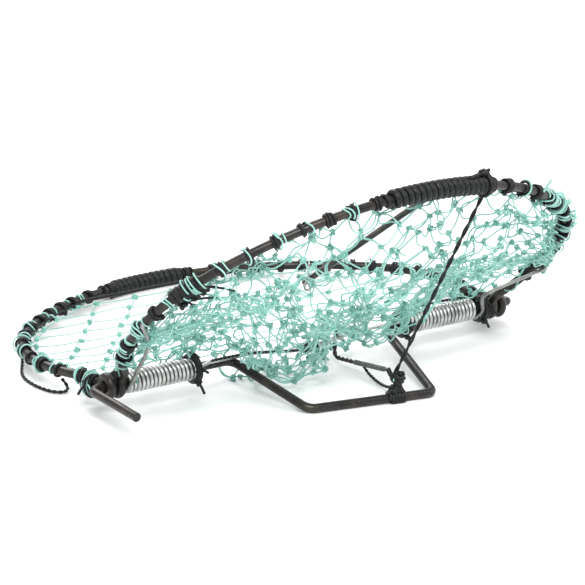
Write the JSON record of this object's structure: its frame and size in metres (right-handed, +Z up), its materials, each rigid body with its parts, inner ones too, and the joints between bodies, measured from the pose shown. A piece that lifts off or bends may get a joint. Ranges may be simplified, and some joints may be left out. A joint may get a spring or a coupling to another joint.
{
  "type": "sprung net trap",
  "caption": "Sprung net trap: two corded rod hoops hinged on a bent base rod with torsion springs, a knotted net bag, a latch arm and a bait trigger.",
  "frame": {"origin": "on the floor, under the middle of the trap's box", "axes": "+Z up, +X along the hinge line towards the end whose peg points back, +Y from the foot towards the low rear hoop"},
  "size_m": [0.356, 0.3183, 0.1701],
  "materials": {
    "black_rod": "satin",
    "black_cord": "matt twisted cord",
    "zinc_wire": "zinc plated",
    "bright_wire": "bright wire",
    "dark_wire": "satin",
    "mint_net": "knotted twine"
  },
  "bodies": {
    "base": {"base_rod": "black_rod", "left_spring": "zinc_wire", "right_spring": "zinc_wire", "left_spring_lashing": "black_cord", "right_spring_lashing": "black_cord", "right_axle_knot": "black_cord", "centre_lashing": "black_cord", "foot_lashing": "black_cord", "net_bag": "mint_net", "safety_tether": "black_cord", "trigger_cord": "black_cord", "axle_cord": "black_cord", "coil_cord": "black_cord"},
    "rear_bow": {"rear_hoop": "black_rod", "rear_grip_wrap": "black_cord", "rear_hoop_lashings": "black_cord", "left_eye_lashing": "black_cord", "right_eye_lashing": "black_cord", "rear_net": "mint_net", "carry_loop": "black_cord", "head_rope": "black_cord"},
    "front_bow": {"front_hoop": "black_rod", "front_grip_wrap": "black_cord", "front_hoop_lashings": "black_cord", "left_spring_arm": "zinc_wire", "right_spring_arm": "zinc_wire", "tether_knot": "black_cord", "knot_bundle": "black_cord", "front_net": "mint_net"},
    "latch": {"latch_arm": "black_rod", "latch_wire": "bright_wire"},
    "trigger": {"trigger_hook": "dark_wire", "trigger_tip": "dark_wire"}
  },
  "joints": [
    {"name": "front_bow_swing", "type": "hinge", "parent": "base", "child": "front_bow", "pos_m": [0, -0.0302, 0.0185], "axis": [1, 0, 0], "range_deg": [0, 42], "stiffness_Nm_per_rad": 0.3, "springref_deg": -120.32, "deforming": ["safety_tether"]},
    {"name": "rear_bow_swing", "type": "hinge", "parent": "base", "child": "rear_bow", "pos_m": [0, -0.0302, 0.0185], "axis": [1, 0, 0], "range_deg": [0, 40]},
    {"name": "latch_swing", "type": "hinge", "parent": "front_bow", "child": "latch", "pos_m": [0.008, -0.14837, 0.15933], "axis": [1, 0, 0], "range_deg": [-5, 35]},
    {"name": "trigger_swing", "type": "hinge", "parent": "base", "child": "trigger", "pos_m": [0.024, -0.0278, 0.0185], "axis": [1, 0, 0], "range_deg": [-5, 8]}
  ]
}
